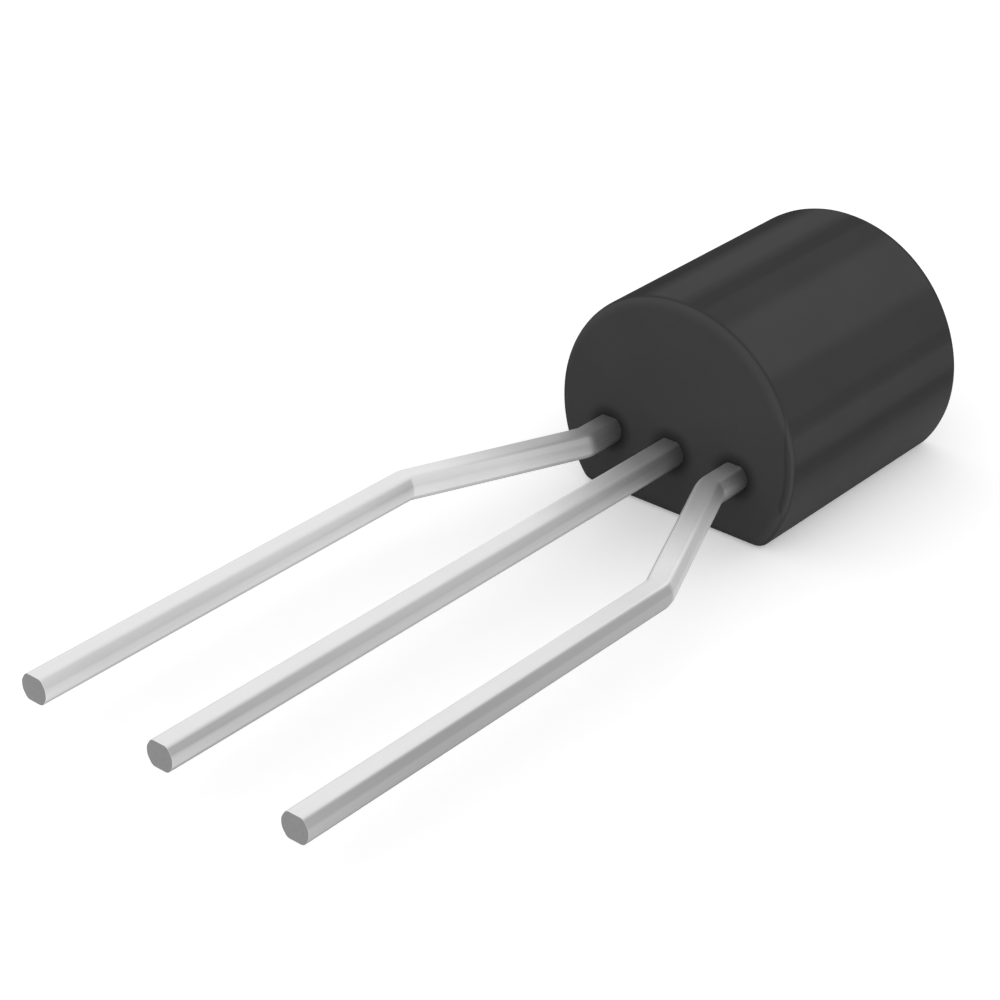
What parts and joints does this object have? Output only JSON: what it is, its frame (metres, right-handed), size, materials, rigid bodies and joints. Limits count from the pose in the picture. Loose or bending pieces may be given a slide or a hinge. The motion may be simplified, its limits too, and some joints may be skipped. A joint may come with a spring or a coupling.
{
  "type": "to-92 transistor",
  "caption": "Small transistor: a moulded body, flat on one side and round on the other, with formed leads spread to a wider spacing at their tips.",
  "frame": {"origin": "centre of the body's flat side, on the surface that the part lies on", "axes": "+Z from the flat side towards the round side, -Y along the leads from the body to their tips, +X towards the emitter lead"},
  "size_m": [0.0056, 0.0164, 0.0038],
  "materials": {
    "moulding": "fine matte moulded epoxy, charcoal",
    "tinned_metal": "matte tin plating over stamped metal",
    "silicon": "smooth dark silicon",
    "paste": "silver-filled paste",
    "gold_wire": "drawn gold wire"
  },
  "bodies": {
    "root": {"case": "moulding", "collector_lead": "tinned_metal", "emitter_lead": "tinned_metal", "base_lead": "tinned_metal", "die": "silicon", "die_paste": "paste", "emitter_wire": "gold_wire", "base_wire": "gold_wire"}
  },
  "joints": []
}
